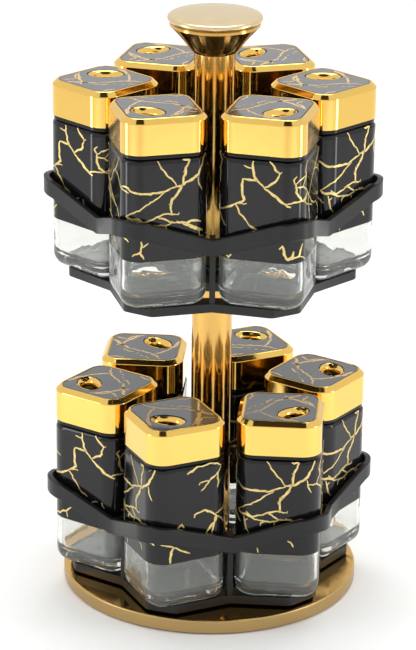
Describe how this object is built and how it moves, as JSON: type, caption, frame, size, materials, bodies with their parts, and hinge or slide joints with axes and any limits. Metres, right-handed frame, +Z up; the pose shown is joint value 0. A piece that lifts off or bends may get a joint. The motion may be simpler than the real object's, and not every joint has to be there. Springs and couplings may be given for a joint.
{
  "type": "spice carousel",
  "caption": "Two-tier revolving rack on a round foot; square glass spice jars with turning shaker caps stand round a central post with a knob.",
  "frame": {"origin": "middle of the underside of the foot's anti-slip pad, on the post's axis", "axes": "+Z up along the post, -Y towards the front fin of the upper tier, +X to the right seen from the front"},
  "size_m": [0.2068, 0.197, 0.367],
  "materials": {
    "gold_plated": "bright gold electroplate on moulded plastic",
    "gold_tube": "polished gold plate on steel tube",
    "satin_gold": "spun metal, satin gold side and polished top",
    "black_plastic": "satin black moulding",
    "black_ring": "glossy black moulding",
    "marble_plate": "glossy charcoal sheet with thin gold veins",
    "clear_glass": "clear pressed glass, upper two thirds lacquered charcoal with gold veins",
    "rubber": "matt black anti-slip ring",
    "steel": "zinc plated steel"
  },
  "bodies": {
    "stand": {"foot_shell": "satin_gold", "foot_pad": "rubber", "tie_rod": "steel", "tie_rod_nut": "steel", "lower_bush": "black_plastic", "lower_post_tube": "gold_tube", "upper_bush": "black_plastic", "upper_post_tube": "gold_tube", "knob_body": "gold_plated", "knob_cap": "gold_plated"},
    "lower_tier": {"lower_tier": "black_plastic"},
    "upper_tier": {"upper_tier": "black_plastic"},
    "lower_front_left_jar": {"lower_front_left_jar": "clear_glass"},
    "lower_front_left_insert": {"lower_front_left_insert": "black_ring"},
    "lower_front_left_cap": {"lower_front_left_cap": "gold_plated", "lower_front_left_cap_plate": "marble_plate"},
    "lower_front_right_jar": {"lower_front_right_jar": "clear_glass"},
    "lower_front_right_insert": {"lower_front_right_insert": "black_ring"},
    "lower_front_right_cap": {"lower_front_right_cap": "gold_plated", "lower_front_right_cap_plate": "marble_plate"},
    "lower_right_jar": {"lower_right_jar": "clear_glass"},
    "lower_right_insert": {"lower_right_insert": "black_ring"},
    "lower_right_cap": {"lower_right_cap": "gold_plated", "lower_right_cap_plate": "marble_plate"},
    "lower_back_right_jar": {"lower_back_right_jar": "clear_glass"},
    "lower_back_right_insert": {"lower_back_right_insert": "black_ring"},
    "lower_back_right_cap": {"lower_back_right_cap": "gold_plated", "lower_back_right_cap_plate": "marble_plate"},
    "lower_back_left_jar": {"lower_back_left_jar": "clear_glass"},
    "lower_back_left_insert": {"lower_back_left_insert": "black_ring"},
    "lower_back_left_cap": {"lower_back_left_cap": "gold_plated", "lower_back_left_cap_plate": "marble_plate"},
    "lower_left_jar": {"lower_left_jar": "clear_glass"},
    "lower_left_insert": {"lower_left_insert": "black_ring"},
    "lower_left_cap": {"lower_left_cap": "gold_plated", "lower_left_cap_plate": "marble_plate"},
    "upper_front_left_jar": {"upper_front_left_jar": "clear_glass"},
    "upper_front_left_insert": {"upper_front_left_insert": "black_ring"},
    "upper_front_left_cap": {"upper_front_left_cap": "gold_plated", "upper_front_left_cap_plate": "marble_plate"},
    "upper_front_right_jar": {"upper_front_right_jar": "clear_glass"},
    "upper_front_right_insert": {"upper_front_right_insert": "black_ring"},
    "upper_front_right_cap": {"upper_front_right_cap": "gold_plated", "upper_front_right_cap_plate": "marble_plate"},
    "upper_right_jar": {"upper_right_jar": "clear_glass"},
    "upper_right_insert": {"upper_right_insert": "black_ring"},
    "upper_right_cap": {"upper_right_cap": "gold_plated", "upper_right_cap_plate": "marble_plate"},
    "upper_back_right_jar": {"upper_back_right_jar": "clear_glass"},
    "upper_back_right_insert": {"upper_back_right_insert": "black_ring"},
    "upper_back_right_cap": {"upper_back_right_cap": "gold_plated", "upper_back_right_cap_plate": "marble_plate"},
    "upper_back_left_jar": {"upper_back_left_jar": "clear_glass"},
    "upper_back_left_insert": {"upper_back_left_insert": "black_ring"},
    "upper_back_left_cap": {"upper_back_left_cap": "gold_plated", "upper_back_left_cap_plate": "marble_plate"},
    "upper_left_jar": {"upper_left_jar": "clear_glass"},
    "upper_left_insert": {"upper_left_insert": "black_ring"},
    "upper_left_cap": {"upper_left_cap": "gold_plated", "upper_left_cap_plate": "marble_plate"}
  },
  "joints": [
    {"name": "lower_tier_spin", "type": "hinge", "parent": "stand", "child": "lower_tier", "pos_m": [0, 0, 0.0105], "axis": [0, 0, 1], "continuous": true},
    {"name": "upper_tier_spin", "type": "hinge", "parent": "stand", "child": "upper_tier", "pos_m": [0, 0, 0.2022], "axis": [0, 0, 1], "continuous": true},
    {"name": "lower_front_left_jar_lift", "type": "slide", "parent": "lower_tier", "child": "lower_front_left_jar", "axis": [0, 0, 1], "range_m": [0, 0.046]},
    {"name": "lower_front_left_insert_pull", "type": "slide", "parent": "lower_front_left_jar", "child": "lower_front_left_insert", "axis": [0, 0, 1], "range_m": [0, 0.02]},
    {"name": "lower_front_left_cap_turn", "type": "hinge", "parent": "lower_front_left_insert", "child": "lower_front_left_cap", "pos_m": [-0.02196, -0.06202, 0.1118], "axis": [0, 0, 1], "continuous": true},
    {"name": "lower_front_right_jar_lift", "type": "slide", "parent": "lower_tier", "child": "lower_front_right_jar", "axis": [0, 0, 1], "range_m": [0, 0.046]},
    {"name": "lower_front_right_insert_pull", "type": "slide", "parent": "lower_front_right_jar", "child": "lower_front_right_insert", "axis": [0, 0, 1], "range_m": [0, 0.02]},
    {"name": "lower_front_right_cap_turn", "type": "hinge", "parent": "lower_front_right_insert", "child": "lower_front_right_cap", "pos_m": [0.04273, -0.05003, 0.1118], "axis": [0, 0, 1], "continuous": true},
    {"name": "lower_right_jar_lift", "type": "slide", "parent": "lower_tier", "child": "lower_right_jar", "axis": [0, 0, 1], "range_m": [0, 0.046]},
    {"name": "lower_right_insert_pull", "type": "slide", "parent": "lower_right_jar", "child": "lower_right_insert", "axis": [0, 0, 1], "range_m": [0, 0.02]},
    {"name": "lower_right_cap_turn", "type": "hinge", "parent": "lower_right_insert", "child": "lower_right_cap", "pos_m": [0.0647, 0.01199, 0.1118], "axis": [0, 0, 1], "continuous": true},
    {"name": "lower_back_right_jar_lift", "type": "slide", "parent": "lower_tier", "child": "lower_back_right_jar", "axis": [0, 0, 1], "range_m": [0, 0.046]},
    {"name": "lower_back_right_insert_pull", "type": "slide", "parent": "lower_back_right_jar", "child": "lower_back_right_insert", "axis": [0, 0, 1], "range_m": [0, 0.02]},
    {"name": "lower_back_right_cap_turn", "type": "hinge", "parent": "lower_back_right_insert", "child": "lower_back_right_cap", "pos_m": [0.02196, 0.06202, 0.1118], "axis": [0, 0, 1], "continuous": true},
    {"name": "lower_back_left_jar_lift", "type": "slide", "parent": "lower_tier", "child": "lower_back_left_jar", "axis": [0, 0, 1], "range_m": [0, 0.046]},
    {"name": "lower_back_left_insert_pull", "type": "slide", "parent": "lower_back_left_jar", "child": "lower_back_left_insert", "axis": [0, 0, 1], "range_m": [0, 0.02]},
    {"name": "lower_back_left_cap_turn", "type": "hinge", "parent": "lower_back_left_insert", "child": "lower_back_left_cap", "pos_m": [-0.04273, 0.05003, 0.1118], "axis": [0, 0, 1], "continuous": true},
    {"name": "lower_left_jar_lift", "type": "slide", "parent": "lower_tier", "child": "lower_left_jar", "axis": [0, 0, 1], "range_m": [0, 0.046]},
    {"name": "lower_left_insert_pull", "type": "slide", "parent": "lower_left_jar", "child": "lower_left_insert", "axis": [0, 0, 1], "range_m": [0, 0.02]},
    {"name": "lower_left_cap_turn", "type": "hinge", "parent": "lower_left_insert", "child": "lower_left_cap", "pos_m": [-0.0647, -0.01199, 0.1118], "axis": [0, 0, 1], "continuous": true},
    {"name": "upper_front_left_jar_lift", "type": "slide", "parent": "upper_tier", "child": "upper_front_left_jar", "axis": [0, 0, 1], "range_m": [0, 0.12]},
    {"name": "upper_front_left_insert_pull", "type": "slide", "parent": "upper_front_left_jar", "child": "upper_front_left_insert", "axis": [0, 0, 1], "range_m": [0, 0.02]},
    {"name": "upper_front_left_cap_turn", "type": "hinge", "parent": "upper_front_left_insert", "child": "upper_front_left_cap", "pos_m": [-0.0329, -0.05698, 0.3035], "axis": [0, 0, 1], "continuous": true},
    {"name": "upper_front_right_jar_lift", "type": "slide", "parent": "upper_tier", "child": "upper_front_right_jar", "axis": [0, 0, 1], "range_m": [0, 0.12]},
    {"name": "upper_front_right_insert_pull", "type": "slide", "parent": "upper_front_right_jar", "child": "upper_front_right_insert", "axis": [0, 0, 1], "range_m": [0, 0.02]},
    {"name": "upper_front_right_cap_turn", "type": "hinge", "parent": "upper_front_right_insert", "child": "upper_front_right_cap", "pos_m": [0.0329, -0.05698, 0.3035], "axis": [0, 0, 1], "continuous": true},
    {"name": "upper_right_jar_lift", "type": "slide", "parent": "upper_tier", "child": "upper_right_jar", "axis": [0, 0, 1], "range_m": [0, 0.12]},
    {"name": "upper_right_insert_pull", "type": "slide", "parent": "upper_right_jar", "child": "upper_right_insert", "axis": [0, 0, 1], "range_m": [0, 0.02]},
    {"name": "upper_right_cap_turn", "type": "hinge", "parent": "upper_right_insert", "child": "upper_right_cap", "pos_m": [0.0658, 0, 0.3035], "axis": [0, 0, 1], "continuous": true},
    {"name": "upper_back_right_jar_lift", "type": "slide", "parent": "upper_tier", "child": "upper_back_right_jar", "axis": [0, 0, 1], "range_m": [0, 0.12]},
    {"name": "upper_back_right_insert_pull", "type": "slide", "parent": "upper_back_right_jar", "child": "upper_back_right_insert", "axis": [0, 0, 1], "range_m": [0, 0.02]},
    {"name": "upper_back_right_cap_turn", "type": "hinge", "parent": "upper_back_right_insert", "child": "upper_back_right_cap", "pos_m": [0.0329, 0.05698, 0.3035], "axis": [0, 0, 1], "continuous": true},
    {"name": "upper_back_left_jar_lift", "type": "slide", "parent": "upper_tier", "child": "upper_back_left_jar", "axis": [0, 0, 1], "range_m": [0, 0.12]},
    {"name": "upper_back_left_insert_pull", "type": "slide", "parent": "upper_back_left_jar", "child": "upper_back_left_insert", "axis": [0, 0, 1], "range_m": [0, 0.02]},
    {"name": "upper_back_left_cap_turn", "type": "hinge", "parent": "upper_back_left_insert", "child": "upper_back_left_cap", "pos_m": [-0.0329, 0.05698, 0.3035], "axis": [0, 0, 1], "continuous": true},
    {"name": "upper_left_jar_lift", "type": "slide", "parent": "upper_tier", "child": "upper_left_jar", "axis": [0, 0, 1], "range_m": [0, 0.12]},
    {"name": "upper_left_insert_pull", "type": "slide", "parent": "upper_left_jar", "child": "upper_left_insert", "axis": [0, 0, 1], "range_m": [0, 0.02]},
    {"name": "upper_left_cap_turn", "type": "hinge", "parent": "upper_left_insert", "child": "upper_left_cap", "pos_m": [-0.0658, 0, 0.3035], "axis": [0, 0, 1], "continuous": true}
  ]
}
